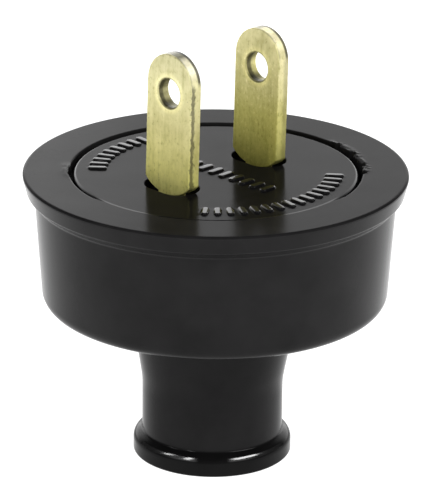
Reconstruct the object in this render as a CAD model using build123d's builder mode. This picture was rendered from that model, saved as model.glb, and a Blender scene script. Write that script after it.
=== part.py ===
from build123d import *
import os

# Round rewirable plug with two flat parallel blades.
# Millimetres, +Z up. The plug stands on the beaded end of its cord neck, with
# the origin at the middle of that end and the blades pointing up. The blades
# are spaced along X and their wide sides face +X and -X.

# ---------------------------------------------------------------- dimensions
face_z = 31.1            # rim, above the end of the neck

# blades
blade_pitch = 12.7       # centre to centre
blade_w = 6.35
blade_t = 1.5
blade_len = 14.15        # rim to tip
blade_hole_r = 1.55
blade_hole_drop = 4.15   # tip to hole centre
root_up = 0.42           # where the rounded root begins, above the rim
root_down = 0.75         # where it has narrowed to the neck, below the rim
blade_neck_w = 2.6
foot_top_z = 27.5        # upper side of the bent terminal foot
foot_end_x = 13.8
bend_out_r = 1.9
bend_in_r = 0.4
foot_corner_r = 1.5
tip_break = 0.2

# terminal screws
screw_x = 10.3
screw_r = 1.725
screw_hole_r = 1.775
screw_len = 2.9
screw_head_r = 3.3
screw_head_h = 1.8
screw_slot_w = 0.9
screw_slot_d = 0.9

# insert
insert_r = 14.82         # edge seen in the face
flange_r = 16.4          # hidden flange that the shell's lip closes over
insert_z = 30.95         # insert's face, a little below the rim
flange_top_z = 29.25
flange_bot_z = 26.95
insert_edge_r = 0.3
well_w = 4.2             # well that the blade's root narrows into
well_len = 6.4
well_d = 1.2
fit_gap = 0.05           # round the blade necks and the flange
barrier_t = 1.6
barrier_len = 26.0
barrier_bot_z = 24.25
screw_well_r = 2.1
screw_well_top_z = 29.2

# shell
lip_r = 20.12
lip_low_r = 19.62
lip_low_z = 29.17
body_top_r = 18.79
body_top_z = 28.35
body_bot_r = 17.99
body_bot_z = 16.76
neck_top_r = 8.89
neck_r = 7.4
neck_taper_z = 8.1
bead_r = 8.33
bead_top_z = 1.85
bead_neck_z = 2.5
bore_r = 4.45
rim_in_r = 15.15         # rim's inner edge, the outer side of the seam
cavity_top_r = 14.9
cavity_bot_r = 14.1
cavity_floor_z = 19.5

blade_x = blade_pitch / 2
tip_z = face_z + blade_len
foot_bot_z = foot_top_z - blade_t

os.makedirs("parts", exist_ok=True)


def corner(sketch, x, y):
    """The sketch's vertex at this point of its profile."""
    return sketch.vertices().sort_by_distance((x, y, 0))[0]


# --------------------------------------------------------------------- shell
# One soft moulding, turned about the axis: bead, neck, cap and lip outside,
# cord bore, wiring chamber and retaining groove inside.
shell_corners = [
    (bore_r, 0),
    (bead_r, 0),
    (bead_r, bead_top_z),
    (neck_r, bead_neck_z),
    (neck_r, neck_taper_z),
    (neck_top_r, body_bot_z),
    (body_bot_r, body_bot_z),
    (body_top_r, body_top_z),
    (lip_low_r, lip_low_z),
    (lip_r, face_z),
    (rim_in_r, face_z),
    (rim_in_r, flange_top_z),
    (flange_r + fit_gap, flange_top_z),
    (flange_r + fit_gap, flange_bot_z),
    (cavity_top_r, flange_bot_z),
    (cavity_bot_r, cavity_floor_z),
    (bore_r, cavity_floor_z),
]
shell_rounds = [
    (bore_r, 0, 0.8),
    (bead_r, 0, 0.25),
    (bead_r, bead_top_z, 0.6),
    (neck_r, bead_neck_z, 0.35),
    (neck_r, neck_taper_z, 10.0),
    (neck_top_r, body_bot_z, 1.0),
    (body_bot_r, body_bot_z, 1.5),
    (body_top_r, body_top_z, 0.5),
    (lip_low_r, lip_low_z, 0.35),
    (lip_r, face_z, 0.3),
    (rim_in_r, face_z, 0.3),
    (cavity_bot_r, cavity_floor_z, 2.5),
    (bore_r, cavity_floor_z, 1.5),
]
with BuildPart() as shell:
    with BuildSketch(Plane.XZ) as shell_section:
        with BuildLine():
            Polyline(*shell_corners, close=True)
        make_face()
        for px, pz, pr in shell_rounds:
            fillet(corner(shell_section, px, pz), radius=pr)
    revolve(axis=Axis.Z)

# -------------------------------------------------------------------- insert
# Hard moulded disc, just below the rim, with a flange behind it. Each blade
# comes out of a round-ended well. Behind, a barrier parts the two terminals.
with BuildPart() as insert:
    with BuildSketch(Plane.XZ) as insert_section:
        with BuildLine():
            Polyline(
                (0, flange_bot_z),
                (flange_r, flange_bot_z),
                (flange_r, flange_top_z),
                (insert_r, flange_top_z),
                (insert_r, insert_z),
                (0, insert_z),
                close=True,
            )
        make_face()
        fillet(corner(insert_section, insert_r, insert_z), radius=insert_edge_r)
        fillet(corner(insert_section, flange_r, flange_top_z), radius=0.3)
        fillet(corner(insert_section, flange_r, flange_bot_z), radius=0.3)
    revolve(axis=Axis.Z)

    # barrier between the terminals, with a rounded free edge
    with BuildSketch(Plane.XZ.offset(-barrier_len / 2)) as barrier_section:
        with BuildLine():
            Polyline(
                (-barrier_t / 2 - 0.3, flange_bot_z),
                (-barrier_t / 2, barrier_bot_z),
                (barrier_t / 2, barrier_bot_z),
                (barrier_t / 2 + 0.3, flange_bot_z),
                close=True,
            )
        make_face()
        fillet(corner(barrier_section, -barrier_t / 2, barrier_bot_z), radius=0.6)
        fillet(corner(barrier_section, barrier_t / 2, barrier_bot_z), radius=0.6)
    extrude(amount=barrier_len)

    # wells that the blades' roots narrow into, in the face
    with BuildSketch(Plane.XY.offset(insert_z)):
        with Locations((blade_x, 0), (-blade_x, 0)):
            SlotOverall(well_len, well_w, rotation=90)
    extrude(amount=-well_d, mode=Mode.SUBTRACT)

    # shallow seats for the terminal feet, behind
    foot_seat_len = foot_end_x + 0.1 - (blade_x - blade_t / 2 - fit_gap)
    foot_seat_mid = blade_x - blade_t / 2 - fit_gap + foot_seat_len / 2
    with BuildSketch(Plane.XY.offset(flange_bot_z)):
        with Locations((foot_seat_mid, 0), (-foot_seat_mid, 0)):
            Rectangle(foot_seat_len, blade_w + 0.2)
    extrude(amount=foot_top_z - flange_bot_z, mode=Mode.SUBTRACT)

    # passages for the blade necks, eased where the feet bend away
    with BuildSketch(Plane.XY.offset(foot_top_z)):
        with Locations((blade_x, 0), (-blade_x, 0)):
            Rectangle(blade_t + 2 * fit_gap, blade_neck_w + 2 * fit_gap)
    extrude(amount=insert_z - foot_top_z, mode=Mode.SUBTRACT)
    ease_x = blade_x + blade_t / 2 + fit_gap + 0.25
    with BuildSketch(Plane.XY.offset(foot_top_z)):
        with Locations((ease_x, 0), (-ease_x, 0)):
            Rectangle(0.5, blade_neck_w + 2 * fit_gap)
    extrude(amount=0.5, mode=Mode.SUBTRACT)

    # blind holes for the ends of the terminal screws
    with BuildSketch(Plane.XY.offset(foot_top_z)):
        with Locations((screw_x, 0), (-screw_x, 0)):
            Circle(screw_well_r)
    extrude(amount=screw_well_top_z - foot_top_z, mode=Mode.SUBTRACT)

# -------------------------------------------------------------------- blades
# A strip bent into an L, cut to the blade's front outline: round tip, straight
# sides, rounded root, narrow neck through the insert, wide foot behind it.
with BuildPart() as blade_right:
    with BuildSketch(Plane.XZ) as strip:
        with BuildLine():
            Polyline(
                (blade_x - blade_t / 2, foot_bot_z),
                (blade_x - blade_t / 2, tip_z),
                (blade_x + blade_t / 2, tip_z),
                (blade_x + blade_t / 2, foot_top_z),
                (foot_end_x, foot_top_z),
                (foot_end_x, foot_bot_z),
                close=True,
            )
        make_face()
        fillet(corner(strip, blade_x - blade_t / 2, foot_bot_z), radius=bend_out_r)
        fillet(corner(strip, blade_x + blade_t / 2, foot_top_z), radius=bend_in_r)
    extrude(amount=blade_w / 2, both=True)

    hw = blade_w / 2
    hn = blade_neck_w / 2
    root_top = face_z + root_up
    root_bot = face_z - root_down
    mid_y = 2.5
    mid_z = face_z - 0.21
    with BuildSketch(Plane.YZ):
        with BuildLine():
            Polyline(
                (hn, root_bot),
                (hn, foot_top_z),
                (hw, foot_top_z),
                (hw, foot_bot_z - 1),
                (-hw, foot_bot_z - 1),
                (-hw, foot_top_z),
                (-hn, foot_top_z),
                (-hn, root_bot),
            )
            ThreePointArc((-hn, root_bot), (-mid_y, mid_z), (-hw, root_top))
            Line((-hw, root_top), (-hw, tip_z - hw))
            ThreePointArc((-hw, tip_z - hw), (0, tip_z), (hw, tip_z - hw))
            Line((hw, tip_z - hw), (hw, root_top))
            ThreePointArc((hw, root_top), (mid_y, mid_z), (hn, root_bot))
        make_face()
    extrude(amount=foot_end_x + 5, mode=Mode.INTERSECT)

    # lead-in round the tip
    tip_edges = (
        blade_right.edges()
        .filter_by(GeomType.CIRCLE)
        .filter_by(lambda e: abs(e.radius - hw) < 1e-3)
    )
    chamfer(tip_edges, length=tip_break)

    # hole near the tip
    with BuildSketch(Plane.YZ):
        with Locations((0, tip_z - blade_hole_drop)):
            Circle(blade_hole_r)
    extrude(amount=foot_end_x + 5, mode=Mode.SUBTRACT)

    # rounded foot end and the screw's hole
    foot_corners = (
        blade_right.edges().filter_by(Axis.Z).group_by(Axis.X)[-1]
    )
    fillet(foot_corners, radius=foot_corner_r)
    with BuildSketch(Plane.XY.offset(foot_bot_z)):
        with Locations((screw_x, 0)):
            Circle(screw_hole_r)
    extrude(amount=blade_t, mode=Mode.SUBTRACT)

with BuildPart() as blade_left:
    mirror(blade_right.part, about=Plane.YZ)

# ----------------------------------------------------------- terminal screws
# Two binding-head screws, heads down, driven into the feet from behind.
with BuildPart() as terminal_screws:
    with BuildSketch(Plane.XY.offset(foot_bot_z)):
        with Locations((screw_x, 0), (-screw_x, 0)):
            Circle(screw_head_r)
    extrude(amount=-screw_head_h)
    fillet(terminal_screws.edges().group_by(Axis.Z)[0], radius=0.7)
    with BuildSketch(Plane.XY.offset(foot_bot_z)):
        with Locations((screw_x, 0), (-screw_x, 0)):
            Circle(screw_r)
    extrude(amount=screw_len)
    chamfer(terminal_screws.edges().group_by(Axis.Z)[-1], length=0.4)
    with BuildSketch(Plane.XY.offset(foot_bot_z - screw_head_h)):
        with Locations(Location((screw_x, 0, 0), (0, 0, 28))):
            Rectangle(3 * screw_head_r, screw_slot_w)
        with Locations(Location((-screw_x, 0, 0), (0, 0, -63))):
            Rectangle(3 * screw_head_r, screw_slot_w)
    extrude(amount=screw_slot_d, mode=Mode.SUBTRACT)

# -------------------------------------------------------------------- output
shell.part.label = "shell"
insert.part.label = "insert"
blade_left.part.label = "blade_left"
blade_right.part.label = "blade_right"
terminal_screws.part.label = "terminal_screws"

export_step(shell.part, "parts/shell.step")
export_step(insert.part, "parts/insert.step")
export_step(blade_left.part, "parts/blade_left.step")
export_step(blade_right.part, "parts/blade_right.step")
export_step(terminal_screws.part, "parts/terminal_screws.step")
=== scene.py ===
import math

import bmesh
import bpy
import numpy as np
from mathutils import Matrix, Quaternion, Vector, noise
from mathutils.geometry import delaunay_2d_cdt


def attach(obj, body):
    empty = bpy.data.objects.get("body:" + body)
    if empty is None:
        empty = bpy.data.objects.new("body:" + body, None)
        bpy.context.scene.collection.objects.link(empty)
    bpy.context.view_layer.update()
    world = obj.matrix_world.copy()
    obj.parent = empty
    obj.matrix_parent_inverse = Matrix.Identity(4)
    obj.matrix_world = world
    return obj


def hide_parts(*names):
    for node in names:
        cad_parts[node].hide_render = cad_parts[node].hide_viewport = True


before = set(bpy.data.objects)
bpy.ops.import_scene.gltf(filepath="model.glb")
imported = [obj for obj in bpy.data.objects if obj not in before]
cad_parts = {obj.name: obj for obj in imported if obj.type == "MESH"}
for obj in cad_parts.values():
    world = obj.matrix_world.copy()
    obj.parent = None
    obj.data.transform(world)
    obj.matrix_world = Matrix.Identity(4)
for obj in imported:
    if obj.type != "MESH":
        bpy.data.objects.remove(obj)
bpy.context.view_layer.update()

# All shapes below are worked out in millimetres and scaled to metres when the
# mesh is made. Z is up, the plug stands on the end of its cord neck.
MM = 0.001
FACE = 31.1        # rim
DISC = 30.95       # insert's face, a little lower
BLADE_X = 6.35
WELL_R = 2.1
WELL_LEN = 6.4
INSERT_R = 14.82


# ------------------------------------------------------------------- helpers
def smooth(a, b, x):
    t = min(1.0, max(0.0, (x - a) / (b - a)))
    return t * t * (3.0 - 2.0 * t)


def near(theta, mid, half, fade):
    """1 within half degrees of mid, falling to 0 over the next fade degrees."""
    d = abs((theta - mid + 180.0) % 360.0 - 180.0)
    return 1.0 - smooth(half, half + fade, d)


def dice(i, seed):
    x = math.sin(i * 127.1 + seed * 311.7) * 43758.5453
    return x - math.floor(x)


def ripple(t, seed):
    """Smooth noise along a line, from -1 to 1."""
    i = math.floor(t)
    f = t - i
    f = f * f * (3.0 - 2.0 * f)
    return 2.0 * ((1.0 - f) * dice(i, seed) + f * dice(i + 1, seed)) - 1.0


def uneven(x, y):
    """Slight unevenness of the moulded front face."""
    return 0.010 * noise.noise(Vector((x / 6.0, y / 6.0, 3.1))) + 0.0025 * noise.noise(
        Vector((x / 1.9, y / 1.9, 8.4))
    )


def circle(cx, cy, r, n, turn=0.0):
    return [
        (
            cx + r * math.cos(turn + 2 * math.pi * i / n),
            cy + r * math.sin(turn + 2 * math.pi * i / n),
        )
        for i in range(n)
    ]


def inside(points, loop):
    """Which of the points lie inside a closed loop."""
    x, y = points[:, 0], points[:, 1]
    hit = np.zeros(len(points), bool)
    ring = np.asarray(loop, float)
    for (x0, y0), (x1, y1) in zip(ring, np.roll(ring, -1, axis=0)):
        if y0 == y1:
            continue
        cross = (y0 > y) != (y1 > y)
        hit ^= cross & (x < (x1 - x0) * (y - y0) / (y1 - y0) + x0)
    return hit


def clear_of(points, loops, gap):
    """The points that are at least gap away from every loop's corners."""
    keep = np.ones(len(points), bool)
    for loop in loops:
        ring = np.asarray(loop, float)
        for s in range(0, len(points), 400):
            part = points[s : s + 400]
            d = np.linalg.norm(part[:, None, :] - ring[None, :, :], axis=2).min(1)
            keep[s : s + 400] &= d > gap
    return points[keep]


def inset(loop, amount):
    """A closed anticlockwise loop moved inwards, by one amount or one per corner."""
    p = np.asarray(loop, float)
    d = np.roll(p, -1, axis=0) - p
    d /= np.maximum(np.linalg.norm(d, axis=1), 1e-9)[:, None]
    left = np.stack([-d[:, 1], d[:, 0]], 1)
    n = left + np.roll(left, 1, axis=0)
    n /= np.maximum(np.linalg.norm(n, axis=1), 1e-9)[:, None]
    grow = 1.0 / np.maximum((n * left).sum(1), 0.5)
    return p + n * (np.asarray(amount, float) * grow)[:, None]


class Skin:
    """Collects corners and faces, and welds them into one closed mesh."""

    def __init__(self):
        self.co, self.faces = [], []

    def ring(self, points):
        first = len(self.co)
        self.co.extend(tuple(map(float, p)) for p in points)
        return list(range(first, len(self.co)))

    def strip(self, a, b):
        n = len(a)
        for i in range(n):
            j = (i + 1) % n
            self.faces.append((a[i], a[j], b[j], b[i]))

    def stack(self, rings):
        made = [self.ring(r) for r in rings]
        for a, b in zip(made, made[1:]):
            self.strip(a, b)
        return made

    def cap(self, outer, holes, grid, place):
        """Fills a flat region with triangles; place turns (x, y) into a point."""
        loops = [outer] + holes
        points, edges = [], []
        for loop in loops:
            s = len(points)
            n = len(loop)
            points.extend((float(x), float(y)) for x, y in loop)
            edges.extend((s + i, s + (i + 1) % n) for i in range(n))
        if grid is not None and len(grid):
            g = np.asarray(grid, float)
            g = g[inside(g, outer)]
            for h in holes:
                g = g[~inside(g, h)]
            g = clear_of(g, loops, 0.16)
            points.extend((float(x), float(y)) for x, y in g)
        out = delaunay_2d_cdt([Vector(p) for p in points], edges, [], 0, 1e-6, False)
        xy = np.array([tuple(v) for v in out[0]], float)
        tri = [t for t in out[2] if len(t) == 3]
        mid = np.array([xy[list(t)].mean(0) for t in tri])
        ok = inside(mid, outer)
        for h in holes:
            ok &= ~inside(mid, h)
        first = len(self.co)
        self.co.extend(tuple(place(x, y)) for x, y in xy)
        self.faces.extend(
            tuple(first + i for i in t) for t, k in zip(tri, ok) if k
        )

    def make(self, name, bend=None):
        mesh = bpy.data.meshes.new(name)
        bm = bmesh.new()
        vs = [bm.verts.new(bend(*c) if bend else c) for c in self.co]
        for f in self.faces:
            if len(set(f)) == len(f):
                try:
                    bm.faces.new([vs[i] for i in f])
                except ValueError:
                    pass
        bmesh.ops.remove_doubles(bm, verts=bm.verts, dist=2e-4)
        loose = [v for v in bm.verts if not v.link_faces]
        bmesh.ops.delete(bm, geom=loose, context="VERTS")
        bmesh.ops.recalc_face_normals(bm, faces=bm.faces)
        if bm.calc_volume(signed=True) < 0:
            bmesh.ops.reverse_faces(bm, faces=bm.faces)
        open_edges = sum(1 for e in bm.edges if len(e.link_faces) != 2)
        for f in bm.faces:
            f.smooth = True
        bmesh.ops.scale(bm, vec=(MM, MM, MM), verts=bm.verts)
        bm.to_mesh(mesh)
        bm.free()
        ob = bpy.data.objects.new(name, mesh)
        bpy.context.scene.collection.objects.link(ob)
        print(name, "faces", len(mesh.polygons), "open edges", open_edges)
        return ob


def outline(corners, rounds, arcs, cuts, ease=0.045):
    """A closed section: arcs at its corners, each straight run held flat by a
    point close to both of its ends and divided as often as cuts says."""
    n = len(corners)
    ends, bows = [], []
    for i in range(n):
        a, b, c = (Vector(corners[k % n]) for k in (i - 1, i, i + 1))
        r = rounds[i]
        if r <= 0:
            ends.append((b, b))
            bows.append([b])
            continue
        u, v = (a - b).normalized(), (c - b).normalized()
        half = math.acos(max(-1.0, min(1.0, u.dot(v)))) / 2
        reach = r / math.tan(half)
        mid = b + (u + v).normalized() * (r / math.sin(half))
        p0, p1 = b + u * reach, b + v * reach
        a0 = math.atan2(p0.y - mid.y, p0.x - mid.x)
        a1 = math.atan2(p1.y - mid.y, p1.x - mid.x)
        sweep = (a1 - a0 + math.pi) % (2 * math.pi) - math.pi
        k = arcs[i]
        bows.append(
            [
                mid + r * Vector((math.cos(a0 + sweep * j / k), math.sin(a0 + sweep * j / k)))
                for j in range(k + 1)
            ]
        )
        ends.append((p0, p1))
    out = []
    for i in range(n):
        out.extend(bows[i])
        p, q = ends[i][1], ends[(i + 1) % n][0]
        run = (q - p).length
        e = min(ease, run * 0.2) / run
        steps = [e] + [e + (1 - 2 * e) * (j + 1) / (cuts[i] + 1) for j in range(cuts[i])]
        out.extend(p.lerp(q, t) for t in steps + [1 - e])
    return out


# ---------------------------------------------------------------------- seam
# The soft lip closes tightly on the insert in two sectors, stands open
# elsewhere, and is ragged with flash in two places.
def seam_open(deg):
    shut = 0.94 * near(deg, 187.0, 10.0, 9.0) + 0.94 * near(deg, 260.0, 17.0, 9.0)
    return 1.0 - min(1.0, shut + 0.30 * near(deg, 222.0, 12.0, 14.0))


def flash(deg):
    return max(near(deg, -27.0, 15.0, 8.0), 0.8 * near(deg, 136.0, 4.0, 6.0))


def ragged(deg, seed):
    s = math.radians(deg) * 15.0
    return 0.62 * ripple(s / 0.80, seed) + 0.38 * ripple(s / 0.36, seed + 1)


def hook(deg):
    """Small notches torn in the lip."""
    return max(near(deg, a, h, 1.3) for a, h in ((-12.0, 0.9), (-23.5, 1.3), (-37.0, 1.0), (-46.0, 0.6)))


def lip_r(deg):
    amp = 0.016 + 0.24 * flash(deg)
    torn = 0.10 * flash(deg) + 0.40 * hook(deg)
    return 14.91 + 0.27 * seam_open(deg) + amp * ragged(deg, 3) + torn


def lip_round(deg):
    return 0.09 + 0.09 * seam_open(deg) + 0.06 * flash(deg) * ragged(deg, 9)


def insert_round(deg):
    return 0.14 + 0.24 * seam_open(deg)


# --------------------------------------------------------------------- shell
# steps round the shell, finer where the lip is torn
SHELL_DEGS = [-58.0 + 0.35 * i for i in range(160)] + [-2.0 + 302.0 * i / 270 for i in range(270)]


def shell_section(deg):
    corners = [
        (4.45, 0.0), (8.33, 0.0), (8.33, 1.85), (7.4, 2.5), (7.4, 8.1),
        (8.89, 16.76), (17.99, 16.76), (18.79, 28.35), (19.62, 29.17),
        (20.115, FACE), (lip_r(deg), FACE), (15.15, 29.25), (16.45, 29.25),
        (16.45, 26.95), (14.9, 26.95), (14.1, 19.5), (4.45, 19.5),
    ]
    rounds = [0.8, 0.25, 1.1, 0.35, 10.0, 1.0, 1.5, 0.5, 0.35, 0.3, lip_round(deg),
              0.0, 0.0, 0.0, 0.0, 2.5, 1.5]
    arcs = [5, 10, 12, 8, 4, 9, 12, 6, 6, 10, 6, 0, 0, 0, 0, 5, 5]
    cuts = [2, 1, 1, 4, 5, 5, 9, 1, 3, 14, 2, 0, 0, 0, 3, 2, 5]
    return outline(corners, rounds, arcs, cuts)


def build_shell():
    skin = Skin()
    columns = []
    for deg in SHELL_DEGS:
        t = math.radians(deg)
        c, d = math.cos(t), math.sin(t)
        col = []
        torn = flash(deg)
        for p in shell_section(deg):
            r, z = p.x, p.y
            top = smooth(FACE - 0.5, FACE - 0.05, z)
            if top:
                z += top * uneven(r * c, r * d)
                # flash stands up along the torn parts of the inner edge
                lift = smooth(16.3, 15.4, r) * torn
                z += top * lift * (0.05 + 0.09 * ragged(deg * 1.13 + 40.0 * r, 21))
            # the soft wall is not perfectly round
            if z < FACE - 0.8 and r > 6.8:
                r += 0.012 * noise.noise(Vector((2.2 * c, 2.2 * d, z / 9.0)))
            # the soft neck has set a little to one side
            off = 0.113 * smooth(16.7, 7.0, z)
            col.append((r * c - off, r * d + off, z))
        columns.append(skin.ring(col))
    for a, b in zip(columns, columns[1:] + columns[:1]):
        skin.strip(a, b)
    return skin.make("shell_skin")


# -------------------------------------------------------------------- insert
def stadium(cx, cy, turn, length, width, cut=0.0, n=9):
    """A bar with round ends, made smaller all round by cut."""
    r = width / 2 - cut
    h = max(0.0, length / 2 - width / 2)
    c, s = math.cos(turn), math.sin(turn)
    pts = []
    for side, off in ((h, 0.0), (-h, math.pi)):
        for i in range(n):
            a = off - math.pi / 2 + math.pi * i / (n - 1)
            x, y = side + r * math.cos(a), r * math.sin(a)
            pts.append((cx + c * x - s * y, cy + s * x + c * y))
    return pts


def index_marks():
    """Plain raised ribs, evenly spaced, in two arcs and a row between the blades."""
    marks = []
    for first, step, count, r in ((84.0, 6.0, 9, 12.3), (-140.0, 6.0, 16, 12.3)):
        for k in range(count):
            t = math.radians(first + step * k)
            marks.append((r * math.cos(t), r * math.sin(t), t, 2.0, 0.74))
    for k in range(11):
        marks.append((0.0, -7.5 + 1.5 * k, 0.0, 2.0, 0.80))
    return marks


def well(cx, cut):
    """Outline of a well, long along the blade's width."""
    return stadium(cx, 0.0, math.pi / 2, WELL_LEN, 2 * WELL_R, cut, 60)


def foot_seat(side):
    """Outline of the seat of a blade's foot, with the passage's corners on it."""
    loop = [(5.55, 1.35), (5.55, -1.35), (5.55, -3.275), (13.9, -3.275), (13.9, 3.275), (5.55, 3.275)]
    return loop if side > 0 else [(-x, y) for x, y in reversed(loop)]


def build_insert():
    skin = Skin()
    n = 432
    degs = [360.0 * i / n for i in range(n)]

    def turn(r_of, z):
        return [
            (
                r_of(d) * math.cos(math.radians(d)),
                r_of(d) * math.sin(math.radians(d)),
                z(d) if callable(z) else z,
            )
            for d in degs
        ]

    # rim of the disc, its flange, and the flat behind
    rings = [turn(lambda d: INSERT_R - insert_round(d) - 0.05, DISC)]
    k = 7
    for j in range(k + 1):
        a = math.pi / 2 * j / k
        rings.append(
            turn(
                lambda d, a=a: INSERT_R - insert_round(d) * (1 - math.sin(a)),
                lambda d, a=a: DISC - insert_round(d) * (1 - math.cos(a)),
            )
        )
    rings.append(turn(lambda d: INSERT_R, lambda d: DISC - insert_round(d) - 0.05))
    for r, z in (
        (14.82, 30.2), (14.82, 29.3), (14.82, 29.25), (14.87, 29.25), (16.05, 29.25),
        (16.10, 29.25), (16.215, 29.227), (16.312, 29.162), (16.377, 29.065),
        (16.4, 28.95), (16.4, 28.9), (16.4, 27.3), (16.4, 27.25), (16.377, 27.135),
        (16.312, 27.038), (16.215, 26.973), (16.10, 26.95), (16.05, 26.95),
    ):
        rings.append(turn(lambda d, r=r: r, z))
    skin.stack(rings)
    face_loop = [(x, y) for x, y, z in rings[0]]
    back_loop = [(x, y) for x, y, z in rings[-1]]

    # front face: two wells, raised marks, and a fine grid that can be uneven
    holes = []
    for cx in (BLADE_X, -BLADE_X):
        holes.append(well(cx, -0.15))
    marks = index_marks()
    for m in marks:
        holes.append(stadium(*m, cut=-0.10))
    step = 0.62
    grid = [
        ((i + 0.5 * (j % 2)) * step, j * step * 0.866)
        for i in range(-25, 26)
        for j in range(-29, 30)
    ]
    skin.cap(face_loop, holes, grid, lambda x, y: (x, y, DISC))
    for m in marks:
        profile = [
            (-0.10, 0.0), (-0.055, 0.004), (-0.025, 0.018), (-0.006, 0.045),
            (0.006, 0.08), (0.022, 0.125), (0.052, 0.165), (0.10, 0.193), (0.16, 0.205),
            (0.22, 0.207),
        ]
        rows = [[(x, y, DISC + h) for x, y in stadium(*m, cut=c)] for c, h in profile]
        skin.stack(rows)
        top = [(x, y) for x, y, z in rows[-1]]
        skin.cap(top, [], None, lambda x, y: (x, y, DISC + 0.207))

    # wells: eased edge, straight wall, floor with the blade's passage
    floor_z = DISC - 1.2
    for sx in (1, -1):
        cx = sx * BLADE_X
        rows = []
        e = 0.10
        rows.append([(x, y, DISC) for x, y in well(cx, -e - 0.05)])
        for j in range(7):
            a = math.pi / 2 * j / 6
            rows.append(
                [
                    (x, y, DISC - e * (1 - math.cos(a)))
                    for x, y in well(cx, -e * (1 - math.sin(a)))
                ]
            )
        for z in (DISC - e - 0.05, DISC - 0.6, floor_z + 0.2):
            rows.append([(x, y, z) for x, y in well(cx, 0.0)])
        for j in range(1, 5):
            a = math.pi / 2 * j / 4
            rows.append(
                [
                    (x, y, floor_z + 0.2 * (1 - math.sin(a)))
                    for x, y in well(cx, 0.2 * (1 - math.cos(a)))
                ]
            )
        skin.stack(rows)
        slot = [(cx - 0.8, -1.35), (cx + 0.8, -1.35), (cx + 0.8, 1.35), (cx - 0.8, 1.35)]
        skin.cap(
            [(x, y) for x, y, z in rows[-1]], [slot], None, lambda x, y: (x, y, floor_z)
        )
        # passage, eased where the foot bends away, foot seat and blind screw hole
        hole = circle(sx * 10.3, 0.0, 2.1, 48)
        seat = foot_seat(sx)
        xs = sorted((sx * 5.55, sx * 7.15, sx * 7.65))
        mouth = [(x, -1.35) for x in xs] + [(x, 1.35) for x in reversed(xs)]
        skin.stack(
            [[(x, y, floor_z) for x, y in slot], [(x, y, 28.0) for x, y in slot]]
        )
        x0, x1 = sorted((sx * 7.15, sx * 7.65))
        ledge = skin.ring([(x, y, 28.0) for x, y in ((x0, -1.35), (x1, -1.35), (x1, 1.35), (x0, 1.35))])
        skin.faces.append(tuple(ledge))
        skin.stack(
            [[(x, y, 28.0) for x, y in mouth], [(x, y, 27.5) for x, y in mouth]]
        )
        skin.cap(seat, [mouth, hole], None, lambda x, y: (x, y, 27.5))
        skin.stack([[(x, y, 27.5) for x, y in seat], [(x, y, 26.95) for x, y in seat]])
        skin.stack([[(x, y, 27.5) for x, y in hole], [(x, y, 29.2) for x, y in hole]])
        skin.cap(hole, [], None, lambda x, y: (x, y, 29.2))
    seats = [foot_seat(1), foot_seat(-1)]
    bar = [(-1.1, -13.0), (1.1, -13.0), (1.1, 13.0), (-1.1, 13.0)]
    skin.cap(back_loop, seats + [bar], None, lambda x, y: (x, y, 26.95))

    # barrier between the terminals
    section = [(-1.1, 26.95)]
    for j in range(6):
        a = math.pi + math.pi / 2 * j / 5
        section.append((-0.22 + 0.6 * math.cos(a), 24.85 + 0.6 * math.sin(a)))
    for j in range(6):
        a = -math.pi / 2 + math.pi / 2 * j / 5
        section.append((0.22 + 0.6 * math.cos(a), 24.85 + 0.6 * math.sin(a)))
    section.append((1.1, 26.95))
    ends = [[(x, y, z) for x, z in section] for y in (-13.0, 13.0)]
    a, b = (skin.ring(e) for e in ends)
    for i in range(len(section) - 1):
        skin.faces.append((a[i], a[i + 1], b[i + 1], b[i]))
    skin.faces.append(tuple(a))
    skin.faces.append(tuple(b))

    def lay(x, y, z):
        top = smooth(DISC - 0.4, DISC - 0.05, z)
        return (x, y, z + top * uneven(x, y)) if top else (x, y, z)

    return skin.make("insert_disc", bend=lay)


# -------------------------------------------------------------------- blades
BLADE_T = 1.5
HALF_W = 3.175
TIP = FACE + 14.15
BEND_Z = 27.9      # where the neck begins to bend into the foot
BEND_IN = 0.4


def spread(points, step):
    """The closed loop with points about every step along it."""
    out = []
    n = len(points)
    for i in range(n):
        p, q = Vector(points[i]), Vector(points[(i + 1) % n])
        k = max(1, int(round((q - p).length / step)))
        out.extend(tuple(p.lerp(q, j / k)) for j in range(k))
    return out


def blade_outline():
    """Front outline of the strip before the foot is bent: (y, distance up)."""
    up = TIP - HALF_W
    tip = [
        (HALF_W * math.cos(a), up + HALF_W * math.sin(a))
        for a in (math.pi * i / 72 for i in range(73))
    ]
    # rounded root: an arc through three points
    ax, ay, bx, by, cx, cy = HALF_W, FACE + 0.42, 2.5, FACE - 0.21, 1.3, FACE - 0.75
    d = 2 * (ax * (by - cy) + bx * (cy - ay) + cx * (ay - by))
    ux = (
        (ax**2 + ay**2) * (by - cy) + (bx**2 + by**2) * (cy - ay) + (cx**2 + cy**2) * (ay - by)
    ) / d
    uy = (
        (ax**2 + ay**2) * (cx - bx) + (bx**2 + by**2) * (ax - cx) + (cx**2 + cy**2) * (bx - ax)
    ) / d
    r = math.hypot(ax - ux, ay - uy)
    t0 = math.atan2(ay - uy, ax - ux)
    t1 = math.atan2(cy - uy, cx - ux)
    root = [
        (ux + r * math.cos(t0 + (t1 - t0) * i / 18), uy + r * math.sin(t0 + (t1 - t0) * i / 18))
        for i in range(19)
    ]
    foot_top, foot_end = 27.45, 19.7936
    foot = [(1.3, foot_top)]
    foot.append((HALF_W - 0.2, foot_top))
    foot.append((HALF_W, foot_top - 0.2))
    corner = [
        (HALF_W - 1.5 + 1.5 * math.cos(a), foot_end + 1.5 + 1.5 * math.sin(a))
        for a in (-math.pi / 2 * i / 10 for i in range(11))
    ]
    right = root + foot + corner
    left = [(-y, v) for y, v in reversed(right)]
    # anticlockwise: up the right side, over the tip, down the left side
    return spread(list(reversed(right)) + tip + list(reversed(left)), 0.16)


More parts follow.
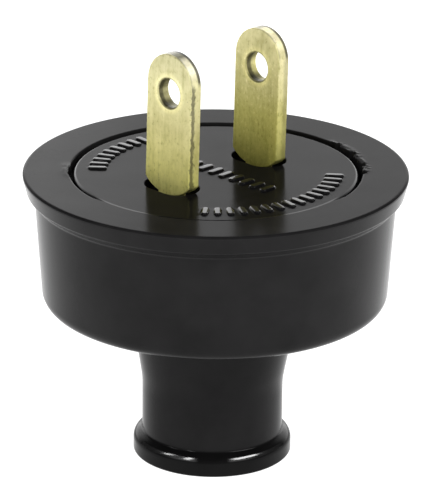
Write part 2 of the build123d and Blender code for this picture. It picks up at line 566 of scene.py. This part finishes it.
def build_blade(name, side, seed):
    """side +1 stands at +X and bends its foot towards +X, -1 is its mirror."""
    skin = Skin()
    h = BLADE_T / 2
    ease = 0.13
    loop = blade_outline()
    length = np.concatenate(
        [[0.0], np.cumsum(np.linalg.norm(np.diff(np.asarray(loop), axis=0), axis=1))]
    )
    straight = np.array(
        [smooth(2.9, 3.1, abs(y)) * smooth(FACE - 0.2, FACE + 0.8, v) for y, v in loop]
    )

    # rows across the thickness: rounded by the shear on one side, ragged where
    # the strip broke away on the other
    rows = [(ease + 0.05, -h)]
    k = 5
    for j in range(k + 1):
        a = math.pi / 2 * j / k
        rows.append((ease * (1 - math.sin(a)), -h + ease * (1 - math.cos(a))))
    rows += [(0.0, -h + ease + 0.03), (0.0, -0.28), (0.0, 0.0), (0.0, 0.28), (0.0, h - ease - 0.03)]
    for j in range(k + 1):
        a = math.pi / 2 * (1 - j / k)
        rows.append((ease * (1 - math.sin(a)), h - ease * (1 - math.cos(a))))
    rows.append((ease + 0.05, h))
    made = []
    for i, (cut, depth) in enumerate(rows):
        rough = 0.0 if i in (0, len(rows) - 1) else 1.0
        torn = 0.010 + 0.016 * smooth(-0.3, 0.3, depth)
        wob = np.array(
            [
                rough * straight[m] * torn * (0.6 * ripple(s / 0.33, seed + i) + 0.6 * ripple(s / 1.1, seed))
                for m, s in enumerate(length)
            ]
        )
        ring = inset(loop, cut + 0.012 + wob * 0.8)
        made.append([(y, v, depth) for y, v in ring])
    skin.stack(made)

    # the hole near the tip and the screw's hole in the foot
    holes = []
    for v, r, n, e in ((TIP - 4.15, 1.55, 72, 0.14), (23.2936, 1.775, 48, 0.08)):
        prof = [(e + 0.05, -h)]
        for j in range(6):
            a = math.pi / 2 * j / 5
            prof.append((e * (1 - math.sin(a)), -h + e * (1 - math.cos(a))))
        prof += [(0.0, -0.3), (0.0, 0.3)]
        for j in range(6):
            a = math.pi / 2 * (1 - j / 5)
            prof.append((e * (1 - math.sin(a)), h - e * (1 - math.cos(a))))
        prof.append((e + 0.05, h))
        stack = []
        for i, (out, depth) in enumerate(prof):
            ring = []
            for q, (y, w) in enumerate(circle(0.0, v, 1.0, n)):
                wob = 0.0 if i in (0, len(prof) - 1) else 0.012 * ripple(q * 0.7, seed + 40 + i)
                rr = r + out + wob
                ring.append((y * rr, v + (w - v) * rr, depth))
            stack.append(ring)
        skin.stack(stack)
        holes.append([(y, w) for y, w, d in stack[0]])

    step = 0.34
    grid = [
        ((i + 0.5 * (j % 2)) * step, 19.8 + j * step * 0.866)
        for i in range(-10, 11)
        for j in range(0, 88)
    ]
    bends = [(i * 0.28, 25.95 + j * 0.2) for i in range(-11, 12) for j in range(0, 11)]
    grid = [g for g in grid if not (25.8 < g[1] < 28.1)] + bends
    for depth, ring in ((-h, made[0]), (h, made[-1])):
        skin.cap([(y, v) for y, v, d in ring], holes, grid, lambda y, v, d=depth: (y, v, d))

    mid_bend = BEND_IN + h
    run = math.pi / 2 * mid_bend

    def fold(y, v, d):
        if v > BEND_Z:
            wave = 0.008 * noise.noise(Vector((y / 1.6, v / 4.0, seed)))
            x, z = BLADE_X + d + wave * smooth(28.5, 32.0, v), v
        else:
            rho = BEND_IN + (h - d)
            turn = min(math.pi / 2, (BEND_Z - v) / mid_bend)
            x = BLADE_X + h + BEND_IN - rho * math.cos(turn)
            z = BEND_Z - rho * math.sin(turn)
            past = BEND_Z - run - v
            if past > 0:
                x += past
        # both blades have been pushed over by about one degree
        lean = 0.0175 * max(0.0, z - FACE) * smooth(FACE, FACE + 4.0, z)
        return (side * x + 0.7071 * lean, y - 0.7071 * lean, z)

    return skin.make(name, bend=fold)


# ------------------------------------------------------------------- helpers
# for materials
def material(name):
    m = bpy.data.materials.new(name)
    m.use_nodes = True
    m.node_tree.nodes.clear()
    return m, m.node_tree.nodes, m.node_tree.links


def put(nodes, kind, **values):
    n = nodes.new(kind)
    for key, value in values.items():
        if hasattr(n, key):
            setattr(n, key, value)
        else:
            n.inputs[key.replace("_", " ")].default_value = value
    return n


def ramp(nodes, links, source, stops):
    n = nodes.new("ShaderNodeValToRGB")
    e = n.color_ramp.elements
    while len(e) < len(stops):
        e.new(0.5)
    for item, (at, value) in zip(e, stops):
        item.position = at
        if isinstance(value, (int, float)):
            value = (value, value, value)
        item.color = (*value, 1.0)
    links.new(source, n.inputs["Fac"])
    return n.outputs["Color"]


def place_mm(nodes, links, stretch=(1.0, 1.0, 1.0)):
    """Object coordinates in millimetres, so that texture scales are per mm."""
    t = nodes.new("ShaderNodeTexCoord")
    m = nodes.new("ShaderNodeMapping")
    m.inputs["Scale"].default_value = tuple(1000.0 * s for s in stretch)
    links.new(t.outputs["Object"], m.inputs["Vector"])
    return m.outputs["Vector"]


def speckle(nodes, links, vector, scale, detail=3.0, rough=0.55):
    n = nodes.new("ShaderNodeTexNoise")
    n.inputs["Scale"].default_value = scale
    n.inputs["Detail"].default_value = detail
    n.inputs["Roughness"].default_value = rough
    links.new(vector, n.inputs["Vector"])
    return n.outputs["Fac"]


def times(nodes, links, a, b):
    n = nodes.new("ShaderNodeMix")
    n.data_type = "RGBA"
    n.blend_type = "MULTIPLY"
    n.inputs[0].default_value = 1.0
    links.new(a, n.inputs[6])
    links.new(b, n.inputs[7])
    return n.outputs[2]


def vinyl():
    """Glossy soft black moulding: faint grain, patches of slightly duller skin."""
    m, nodes, links = material("black_vinyl_skin")
    out = nodes.new("ShaderNodeOutputMaterial")
    b = nodes.new("ShaderNodeBsdfPrincipled")
    links.new(b.outputs["BSDF"], out.inputs["Surface"])
    b.inputs["IOR"].default_value = 1.22
    vec = place_mm(nodes, links)
    patch = speckle(nodes, links, vec, 0.22, 4.0)
    grain = speckle(nodes, links, vec, 7.0, 2.0)
    links.new(ramp(nodes, links, patch, [(0.25, 0.14), (0.75, 0.21)]), b.inputs["Roughness"])
    # the rim's flat face and its edge, the neck and the bead's foot have less
    # shine than the walls, the bead's shoulder has more
    split = nodes.new("ShaderNodeSeparateXYZ")
    links.new(vec, split.inputs[0])
    upper = put(nodes, "ShaderNodeMapRange", From_Min=FACE - 1.0, From_Max=FACE + 0.1)
    links.new(split.outputs["Z"], upper.inputs["Value"])
    lower = put(nodes, "ShaderNodeMapRange", From_Min=0.0, From_Max=18.0)
    links.new(split.outputs["Z"], lower.inputs["Value"])
    # the base colour is about halved over the bead, up to the foot of the neck: painted shade near the floor
    links.new(
        times(
            nodes, links,
            ramp(nodes, links, patch, [(0.3, (0.0075, 0.0073, 0.0075)), (0.7, (0.0115, 0.0112, 0.0115))]),
            ramp(nodes, links, lower.outputs["Result"], [(0.0, 0.5), (0.115, 0.4), (0.135, 0.4), (0.15, 1.0)]),
        ),
        b.inputs["Base Color"],
    )
    bead = put(nodes, "ShaderNodeMapRange", From_Min=1.4, From_Max=2.6)
    links.new(split.outputs["Z"], bead.inputs["Value"])
    facing = nodes.new("ShaderNodeVectorMath")
    facing.operation = "DOT_PRODUCT"
    links.new(vec, facing.inputs[0])
    facing.inputs[1].default_value = (-0.70711, -0.70711, 0.0)
    polish = put(nodes, "ShaderNodeMapRange", From_Min=3.5, From_Max=6.0)
    links.new(facing.outputs["Value"], polish.inputs["Value"])
    # the shine of the flat rim is a little stronger towards one side, and the
    # bead is dull in the middle of its front
    side = nodes.new("ShaderNodeVectorMath")
    side.operation = "DOT_PRODUCT"
    links.new(vec, side.inputs[0])
    side.inputs[1].default_value = (0.70711, -0.70711, 0.0)
    sway = put(nodes, "ShaderNodeMapRange", From_Min=-20.0, From_Max=20.0)
    links.new(side.outputs["Value"], sway.inputs["Value"])
    dull = ramp(nodes, links, sway.outputs["Result"],
                [(0.448, 1.0), (0.460, 0.0), (0.536, 0.0), (0.548, 1.0)])
    gleam = nodes.new("ShaderNodeMix")
    gleam.data_type = "RGBA"
    links.new(times(nodes, links, polish.outputs["Result"], dull), gleam.inputs[0])
    links.new(
        ramp(nodes, links, bead.outputs["Result"], [(0.0, 1.0), (0.1, 0.8), (0.25, 0.34), (0.85, 0.34), (0.96, 1.0)]),
        gleam.inputs[6],
    )
    links.new(
        ramp(nodes, links, bead.outputs["Result"],
             [(0.0, 1.1), (0.2, 1.1), (0.29, 11.0), (0.49, 11.0), (0.54, 0.5), (0.85, 0.5), (0.96, 1.0)]),
        gleam.inputs[7],
    )
    shine = times(
        nodes, links,
        ramp(nodes, links, upper.outputs["Result"],
             [(0.691, 0.44), (0.727, 0.01), (0.875, 0.01), (0.893, 0.026)]),
        ramp(nodes, links, lower.outputs["Result"],
             [(0.0, 0.66), (0.90, 0.66), (0.928, 0.45), (0.945, 0.5), (1.0, 1.0)]),
    )
    shine = times(nodes, links, shine, gleam.outputs[2])
    brim = put(nodes, "ShaderNodeMapRange", From_Min=FACE - 0.2, From_Max=FACE - 0.1)
    links.new(split.outputs["Z"], brim.inputs["Value"])
    only = nodes.new("ShaderNodeMix")
    only.data_type = "RGBA"
    links.new(brim.outputs["Result"], only.inputs[0])
    # below the rim the front of the wall is worn a little duller
    worn = put(nodes, "ShaderNodeMapRange", From_Min=14.0, From_Max=18.0)
    links.new(facing.outputs["Value"], worn.inputs["Value"])
    links.new(ramp(nodes, links, worn.outputs["Result"], [(0.1, 1.0), (0.9, 0.8)]), only.inputs[6])
    links.new(
        ramp(nodes, links, sway.outputs["Result"],
             [(0.06, 1.50), (0.14, 1.30), (0.30, 0.98), (0.50, 0.86), (1.0, 0.93)]),
        only.inputs[7],
    )
    links.new(times(nodes, links, shine, only.outputs[2]), b.inputs["Specular IOR Level"])
    bump = nodes.new("ShaderNodeBump")
    bump.inputs["Strength"].default_value = 0.06
    bump.inputs["Distance"].default_value = 0.00002
    links.new(grain, bump.inputs["Height"])
    links.new(bump.outputs["Normal"], b.inputs["Normal"])
    return m


def hard_black():
    """Harder glossy moulding of the insert, with flow marks in its skin."""
    m, nodes, links = material("black_insert_face")
    out = nodes.new("ShaderNodeOutputMaterial")
    b = nodes.new("ShaderNodeBsdfPrincipled")
    links.new(b.outputs["BSDF"], out.inputs["Surface"])
    b.inputs["IOR"].default_value = 1.22
    vec = place_mm(nodes, links)
    flow = speckle(nodes, links, place_mm(nodes, links, (0.35, 1.1, 0.6)), 0.5, 4.0)
    grain = speckle(nodes, links, vec, 6.0, 2.0)
    links.new(
        ramp(nodes, links, flow, [(0.3, (0.0030, 0.0029, 0.0031)), (0.7, (0.0056, 0.0054, 0.0058))]),
        b.inputs["Base Color"],
    )
    links.new(ramp(nodes, links, flow, [(0.25, 0.13), (0.75, 0.20)]), b.inputs["Roughness"])
    # dull inside the wells and in the seam, shinier on the raised ribs and on
    # the disc's rounded edge
    split = nodes.new("ShaderNodeSeparateXYZ")
    links.new(vec, split.inputs[0])
    depth = put(nodes, "ShaderNodeMapRange", From_Min=DISC - 0.5, From_Max=DISC + 0.2)
    links.new(split.outputs["Z"], depth.inputs["Value"])
    flat = nodes.new("ShaderNodeVectorMath")
    flat.operation = "MULTIPLY"
    links.new(vec, flat.inputs[0])
    flat.inputs[1].default_value = (1.0, 1.0, 0.0)
    far = nodes.new("ShaderNodeVectorMath")
    far.operation = "LENGTH"
    links.new(flat.outputs[0], far.inputs[0])
    rim = put(nodes, "ShaderNodeMapRange", From_Min=INSERT_R - 0.36, From_Max=INSERT_R - 0.26)
    links.new(far.outputs["Value"], rim.inputs["Value"])
    shine = nodes.new("ShaderNodeMix")
    shine.data_type = "FLOAT"
    links.new(rim.outputs["Result"], shine.inputs[0])
    links.new(
        ramp(nodes, links, depth.outputs["Result"], [(0.35, 0.01), (0.66, 0.030), (0.74, 0.030), (0.86, 0.28)]),
        shine.inputs[2],
    )
    links.new(
        ramp(nodes, links, depth.outputs["Result"], [(0.20, 0.01), (0.46, 0.12), (1.0, 0.12)]),
        shine.inputs[3],
    )
    side = nodes.new("ShaderNodeVectorMath")
    side.operation = "DOT_PRODUCT"
    links.new(vec, side.inputs[0])
    side.inputs[1].default_value = (0.70711, -0.70711, 0.0)
    sway = put(nodes, "ShaderNodeMapRange", From_Min=-20.0, From_Max=20.0)
    links.new(side.outputs["Value"], sway.inputs["Value"])
    links.new(
        times(
            nodes, links, shine.outputs[0],
            ramp(nodes, links, sway.outputs["Result"], [(0.14, 1.26), (0.38, 1.0), (0.50, 0.92), (0.86, 0.95)]),
        ),
        b.inputs["Specular IOR Level"],
    )
    bump = nodes.new("ShaderNodeBump")
    bump.inputs["Strength"].default_value = 0.05
    bump.inputs["Distance"].default_value = 0.00002
    links.new(grain, bump.inputs["Height"])
    links.new(bump.outputs["Normal"], b.inputs["Normal"])
    return m


def brass(name, painted_light_by_height, rough, stripe=None, crown=None, bore=None, front=0.0):
    """Rolled brass with light and shade painted into its colour: brighter and more
    saturated at the root and paler towards the tip, as painted light and shade;
    cloudy tarnish, dark specks, faint lengthwise drawing lines, and a ragged stripe
    on the sheared edges, painted shade on one blade and a painted highlight on the
    other, stripe giving its tone from the front face at x = front backwards. crown
    gives the tone of the edge round the tip from its right to its left, a painted
    highlight on its right and painted shade towards its left, bore that of the wall
    of the hole from the front backwards, painted shade and painted light."""
    m, nodes, links = material(name)
    out = nodes.new("ShaderNodeOutputMaterial")
    b = nodes.new("ShaderNodeBsdfPrincipled")
    links.new(b.outputs["BSDF"], out.inputs["Surface"])
    b.inputs["Metallic"].default_value = 0.7
    vec = place_mm(nodes, links)
    lines = speckle(nodes, links, place_mm(nodes, links, (0.6, 2.4, 0.13)), 1.3, 3.0, 0.55)
    cloud = speckle(nodes, links, place_mm(nodes, links, (0.9, 0.9, 0.6)), 0.85, 5.0, 0.62)
    grit = speckle(nodes, links, place_mm(nodes, links, (1.0, 1.0, 0.7)), 3.0, 4.0, 0.7)
    split = nodes.new("ShaderNodeSeparateXYZ")
    links.new(vec, split.inputs[0])
    height = put(nodes, "ShaderNodeMapRange", From_Min=FACE, From_Max=TIP)
    links.new(split.outputs["Z"], height.inputs["Value"])
    tone = nodes.new("ShaderNodeMix")
    tone.data_type = "FLOAT"
    tone.inputs[0].default_value = 0.6
    links.new(lines, tone.inputs[2])
    links.new(cloud, tone.inputs[3])
    # base colour by height: brighter and more saturated at the root, paler towards the tip, painted light and shade
    colour = ramp(nodes, links, height.outputs["Result"], painted_light_by_height)
    colour = times(nodes, links, colour, ramp(
        nodes, links, tone.outputs[0],
        [(0.34, (0.74, 0.74, 0.62)), (0.50, (0.95, 0.95, 0.93)), (0.66, (1.06, 1.06, 1.10))],
    ))
    colour = times(nodes, links, colour, ramp(
        nodes, links, grit, [(0.30, (0.62, 0.62, 0.48)), (0.42, (0.96, 0.96, 0.94)), (0.70, (1.04, 1.04, 1.06))],
    ))
    # the stripe across the thickness of the sheared edge is painted: a dark line of painted shade on the left blade,
    # a pale whitish painted highlight on the right blade's edge
    if stripe:
        fray = nodes.new("ShaderNodeMath")
        fray.operation = "MULTIPLY_ADD"
        links.new(grit, fray.inputs[0])
        fray.inputs[1].default_value = 0.9
        lean = nodes.new("ShaderNodeVectorMath")
        lean.operation = "DOT_PRODUCT"
        links.new(vec, lean.inputs[0])
        lean.inputs[1].default_value = (1.0, 0.0, -0.01237)
        links.new(lean.outputs["Value"], fray.inputs[2])
        start = front - 0.01237 * FACE
        across = put(nodes, "ShaderNodeMapRange", From_Min=start + 0.45, From_Max=start + 0.45 + BLADE_T)
        links.new(fray.outputs["Value"], across.inputs["Value"])
        clean = put(nodes, "ShaderNodeMapRange", From_Min=start, From_Max=start + BLADE_T)
        links.new(lean.outputs["Value"], clean.inputs["Value"])
        # place across the width and up the blade, with the lean taken out
        wide = nodes.new("ShaderNodeVectorMath")
        wide.operation = "DOT_PRODUCT"
        links.new(vec, wide.inputs[0])
        wide.inputs[1].default_value = (0.0, 1.0, 0.01237)
        spot = nodes.new("ShaderNodeCombineXYZ")
        links.new(wide.outputs["Value"], spot.inputs["Y"])
        links.new(split.outputs["Z"], spot.inputs["Z"])
        off = nodes.new("ShaderNodeVectorMath")
        off.operation = "SUBTRACT"
        links.new(spot.outputs["Vector"], off.inputs[0])
        off.inputs[1].default_value = (0.0, 0.01237 * FACE, TIP - 4.15)
        ring = nodes.new("ShaderNodeVectorMath")
        ring.operation = "LENGTH"
        links.new(off.outputs["Vector"], ring.inputs[0])

        # edge round the tip: a painted highlight on its right shoulder, painted shade over its apex and left, and a
        # dark line of painted shade along the back
        turn = put(nodes, "ShaderNodeMapRange",
                   From_Min=0.01237 * FACE - HALF_W, From_Max=0.01237 * FACE + HALF_W)
        links.new(wide.outputs["Value"], turn.inputs["Value"])
        edge = ramp(nodes, links, clean.outputs["Result"],
                    [(0.07, 0.0), (0.15, 1.0), (0.96, 1.0), (0.995, 0.0)])
        crest = nodes.new("ShaderNodeMix")
        crest.data_type = "RGBA"
        links.new(edge, crest.inputs[0])
        crest.inputs[6].default_value = (1.0, 1.0, 1.0, 1.0)
        links.new(ramp(nodes, links, turn.outputs["Result"], crown), crest.inputs[7])
        back_line_shade = ramp(nodes, links, clean.outputs["Result"],
                    [(0.05, 1.0), (0.12, 0.72), (0.24, 1.0), (0.66, 1.0), (0.76, 0.17), (0.965, 0.17),
                     (0.99, 1.0)])
        top = times(nodes, links, crest.outputs[2], back_line_shade)
        arch = put(nodes, "ShaderNodeMapRange", From_Min=TIP - 3.1, From_Max=TIP - 2.5)
        links.new(split.outputs["Z"], arch.inputs["Value"])
        shade = nodes.new("ShaderNodeMix")
        shade.data_type = "RGBA"
        links.new(arch.outputs["Result"], shade.inputs[0])
        links.new(ramp(nodes, links, across.outputs["Result"], stripe), shade.inputs[6])
        links.new(top, shade.inputs[7])

        # wall of the hole, darker at its foot and near the front face as painted shade, on the right blade lighter
        # towards the back as painted light, and a burnished ring round it
        foot = put(nodes, "ShaderNodeMapRange", From_Min=TIP - 5.75, From_Max=TIP - 4.75)
        links.new(split.outputs["Z"], foot.inputs["Value"])
        wall = times(
            nodes, links,
            ramp(nodes, links, clean.outputs["Result"], bore),
            ramp(nodes, links, foot.outputs["Result"], [(0.25, 0.30), (0.80, 1.0)]),
        )
        hollow = put(nodes, "ShaderNodeMapRange", From_Min=1.73, From_Max=1.66)
        links.new(ring.outputs["Value"], hollow.inputs["Value"])
        within = nodes.new("ShaderNodeMix")
        within.data_type = "RGBA"
        links.new(hollow.outputs["Result"], within.inputs[0])
        links.new(shade.outputs[2], within.inputs[6])
        links.new(wall, within.inputs[7])
        worn = put(nodes, "ShaderNodeMapRange", From_Min=1.5, From_Max=2.5)
        links.new(ring.outputs["Value"], worn.inputs["Value"])
        colour = times(nodes, links, colour, within.outputs[2])
        colour = times(nodes, links, colour, ramp(
            nodes, links, worn.outputs["Result"], [(0.20, 1.0), (0.26, 1.30), (0.45, 1.22), (0.80, 1.0)],
        ))
    links.new(colour, b.inputs["Base Color"])
    links.new(
        ramp(nodes, links, tone.outputs[0], [(0.3, rough + 0.10), (0.7, rough - 0.06)]),
        b.inputs["Roughness"],
    )
    scratch = nodes.new("ShaderNodeBump")
    scratch.inputs["Strength"].default_value = 0.12
    scratch.inputs["Distance"].default_value = 0.00004
    links.new(lines, scratch.inputs["Height"])
    pit = nodes.new("ShaderNodeBump")
    pit.inputs["Strength"].default_value = 0.22
    pit.inputs["Distance"].default_value = 0.00004
    links.new(grit, pit.inputs["Height"])
    links.new(scratch.outputs["Normal"], pit.inputs["Normal"])
    links.new(pit.outputs["Normal"], b.inputs["Normal"])
    return m


# -------------------------------------------------------------------- pieces
black = vinyl()
insert_black = hard_black()
# the two blades' brass differs by painted light and shade: the left blade's is painted lit and brighter, the right
# blade's painted darker and more olive as if in shade
brass_left_painted_lit = brass(
    "blade_brass_left_painted_lit",
    [(0.0, (1.0, 0.95, 0.33)), (0.08, (0.93, 0.875, 0.30)), (0.20, (0.66, 0.61, 0.23)),
     (0.45, (0.55, 0.505, 0.235)), (0.78, (0.575, 0.54, 0.295)), (1.0, (0.48, 0.45, 0.26))],
    0.46,
    stripe=[(0.08, 1.0), (0.14, 0.34), (0.34, 0.40), (0.46, 1.05)],
    crown=[(0.02, (1.2, 1.2, 1.3)), (0.08, (1.8, 1.8, 2.4)), (0.24, (1.8, 1.8, 2.4)), (0.34, 0.26), (0.5, 0.17), (0.9, 0.15)],
    bore=[(0.06, 1.0), (0.13, 0.26), (0.38, 0.30), (0.52, 0.75), (1.0, 0.75)],
    front=-BLADE_X - BLADE_T / 2,
)
brass_right_painted_shaded = brass(
    "blade_brass_right_painted_shaded",
    [(0.0, (0.58, 0.55, 0.14)), (0.20, (0.50, 0.465, 0.125)), (0.35, (0.465, 0.43, 0.125)),
     (0.55, (0.48, 0.44, 0.18)), (1.0, (0.53, 0.49, 0.26))],
    0.46,
    stripe=[(0.04, 1.0), (0.12, (1.28, 1.28, 1.55)), (0.46, (1.24, 1.24, 1.5)), (0.62, (0.9, 0.9, 1.1))],
    crown=[(0.02, (1.2, 1.2, 1.4)), (0.08, (1.7, 1.7, 2.1)), (0.38, (1.7, 1.7, 2.1)), (0.50, 0.30), (0.9, 0.16)],
    bore=[(0.06, 1.0), (0.12, 0.26), (0.40, 0.32), (0.56, 1.2), (1.0, 1.4)],
    front=BLADE_X - BLADE_T / 2,
)
screw_metal = brass("screw_brass_turned", [(0.0, (0.70, 0.58, 0.27)), (1.0, (0.72, 0.60, 0.29))], 0.34)

shell = build_shell()
shell.data.materials.append(black)
insert = build_insert()
insert.data.materials.append(insert_black)
blade_right = build_blade("blade_right_brass", 1, 5)
blade_left = build_blade("blade_left_brass", -1, 61)
blade_left.data.materials.append(brass_left_painted_lit)
blade_right.data.materials.append(brass_right_painted_shaded)

for piece, node, slot in (
    (shell, "shell", "black_vinyl"),
    (insert, "insert", "black_insert"),
    (blade_left, "blade_left", "blade_brass"),
    (blade_right, "blade_right", "blade_brass"),
):
    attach(piece, "root")
    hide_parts(node)

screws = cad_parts["terminal_screws"]
if not screws.material_slots:
    screws.data.materials.append(screw_metal)
for s in screws.material_slots:
    s.material = screw_metal

# --------------------------------------------------------------------- stage
# A plain pale table, lit from within like a light table, seen from above only.
mesh = bpy.data.meshes.new("floor")
bm = bmesh.new()
bmesh.ops.create_grid(bm, x_segments=1, y_segments=1, size=3.0)
bm.to_mesh(mesh)
bm.free()
floor = bpy.data.objects.new("floor", mesh)
bpy.context.scene.collection.objects.link(floor)
fm, fn, fl = material("pale_floor")
f_out = fn.new("ShaderNodeOutputMaterial")
f_b = fn.new("ShaderNodeBsdfPrincipled")
f_b.inputs["Base Color"].default_value = (0.30, 0.30, 0.30, 1.0)
f_b.inputs["Roughness"].default_value = 0.9
f_b.inputs["Specular IOR Level"].default_value = 0.0
f_b.inputs["Emission Color"].default_value = (1.0, 1.0, 1.0, 1.0)
f_tc = fn.new("ShaderNodeTexCoord")
f_far = fn.new("ShaderNodeVectorMath")
f_far.operation = "LENGTH"
fl.new(f_tc.outputs["Object"], f_far.inputs[0])
f_range = put(fn, "ShaderNodeMapRange", From_Min=0.0, From_Max=0.5)
fl.new(f_far.outputs["Value"], f_range.inputs["Value"])
fl.new(
    ramp(fn, fl, f_range.outputs["Result"], [(0.26, 0.95), (0.42, 2.6), (1.0, 2.6)]),
    f_b.inputs["Emission Strength"],
)
f_clear = fn.new("ShaderNodeBsdfTransparent")
f_mix = fn.new("ShaderNodeMixShader")
f_geo = fn.new("ShaderNodeNewGeometry")
fl.new(f_geo.outputs["Backfacing"], f_mix.inputs[0])
fl.new(f_b.outputs["BSDF"], f_mix.inputs[1])
fl.new(f_clear.outputs["BSDF"], f_mix.inputs[2])
fl.new(f_mix.outputs["Shader"], f_out.inputs["Surface"])
mesh.materials.append(fm)

# White backdrop behind the plug, a fainter white card in front of it, and a
# dim room at the sides and overhead.
world = bpy.data.worlds.new("studio")
bpy.context.scene.world = world
world.use_nodes = True
wn, wl = world.node_tree.nodes, world.node_tree.links
wn.clear()
w_out = wn.new("ShaderNodeOutputWorld")
w_bg = wn.new("ShaderNodeBackground")
w_tc = wn.new("ShaderNodeTexCoord")


def glow(axis, stops, low, high):
    """Brightness by how far a direction leans to axis, fading out upwards."""
    dot = wn.new("ShaderNodeVectorMath")
    dot.operation = "DOT_PRODUCT"
    dot.inputs[1].default_value = axis
    wl.new(w_tc.outputs["Generated"], dot.inputs[0])
    split = wn.new("ShaderNodeSeparateXYZ")
    wl.new(w_tc.outputs["Generated"], split.inputs[0])
    fade = wn.new("ShaderNodeMapRange")
    fade.interpolation_type = "SMOOTHSTEP"
    fade.inputs["From Min"].default_value = low
    fade.inputs["From Max"].default_value = high
    fade.inputs["To Min"].default_value = 1.0
    fade.inputs["To Max"].default_value = 0.0
    wl.new(split.outputs["Z"], fade.inputs["Value"])
    times = wn.new("ShaderNodeMath")
    times.operation = "MULTIPLY"
    wl.new(ramp(wn, wl, dot.outputs["Value"], stops), times.inputs[0])
    wl.new(fade.outputs["Result"], times.inputs[1])
    return times.outputs["Value"]


behind = glow((0.70711, 0.70711, 0.0), [(0.0, 0.0), (0.55, 0.01), (0.78, 0.81), (1.0, 0.81)], 0.50, 0.72)
ahead = glow((-0.70711, -0.70711, 0.0), [(0.0, 0.0), (0.35, 0.01), (0.65, 0.13), (1.0, 0.14)], 0.48, 0.70)
both = wn.new("ShaderNodeMath")
both.operation = "ADD"
wl.new(behind, both.inputs[0])
wl.new(ahead, both.inputs[1])
w_col = ramp(wn, wl, both.outputs["Value"], [(0.0, 0.08), (1.0, 6.08)])
wl.new(w_col, w_bg.inputs["Color"])
w_bg.inputs["Strength"].default_value = 1.0
wl.new(w_bg.outputs["Background"], w_out.inputs["Surface"])


def softbox(name, at, to, size, power):
    light = bpy.data.lights.new(name, "AREA")
    light.shape = "RECTANGLE"
    light.size, light.size_y = size
    light.energy = power
    ob = bpy.data.objects.new(name, light)
    bpy.context.scene.collection.objects.link(ob)
    ob.location = at
    ob.rotation_euler = (Vector(to) - Vector(at)).to_track_quat("-Z", "Y").to_euler()
    return ob


def around(az, el, far, mid=(0.0, 0.0, 0.02)):
    """A point az degrees to the right of the camera's side and el above level."""
    a, e = math.radians(-135.0 + az), math.radians(el)
    return Vector(mid) + far * Vector(
        (math.cos(a) * math.cos(e), math.sin(a) * math.cos(e), math.sin(e))
    )


softbox("front_left", around(-76.0, 42.0, 0.7), (0, 0, 0.02), (0.06, 0.32), 1.0)
softbox("front_mid", around(-40.0, 42.0, 0.7), (0, 0, 0.02), (0.07, 0.30), 1.3)
softbox("right", around(58.0, 42.0, 0.7), (0, 0, 0.02), (0.42, 0.20), 3.8)

# -------------------------------------------------------------------- camera
cam_data = bpy.data.cameras.new("camera")
cam_data.sensor_width = 36.0
cam_data.lens = 302.0
cam_data.clip_start = 0.01
cam = bpy.data.objects.new("camera", cam_data)
bpy.context.scene.collection.objects.link(cam)
left = 0.00012 * Vector((-0.70711, 0.70711, 0.0))
aim = Vector((0.0, 0.0, 0.02227)) + left
el = math.radians(19.48)
back = Vector((-0.70711 * math.cos(el), -0.70711 * math.cos(el), math.sin(el)))
cam.location = Vector((0.0, 0.0, FACE * MM)) + left + 0.4347 * back
cam.rotation_mode = "QUATERNION"
look = (aim - cam.location).to_track_quat("-Z", "Y")
cam.rotation_quaternion = look @ Quaternion((0, 0, 1), math.radians(0.50))
bpy.context.scene.camera = cam
bpy.context.scene.view_settings.view_transform = "Standard"
bpy.context.scene.view_settings.look = "None"
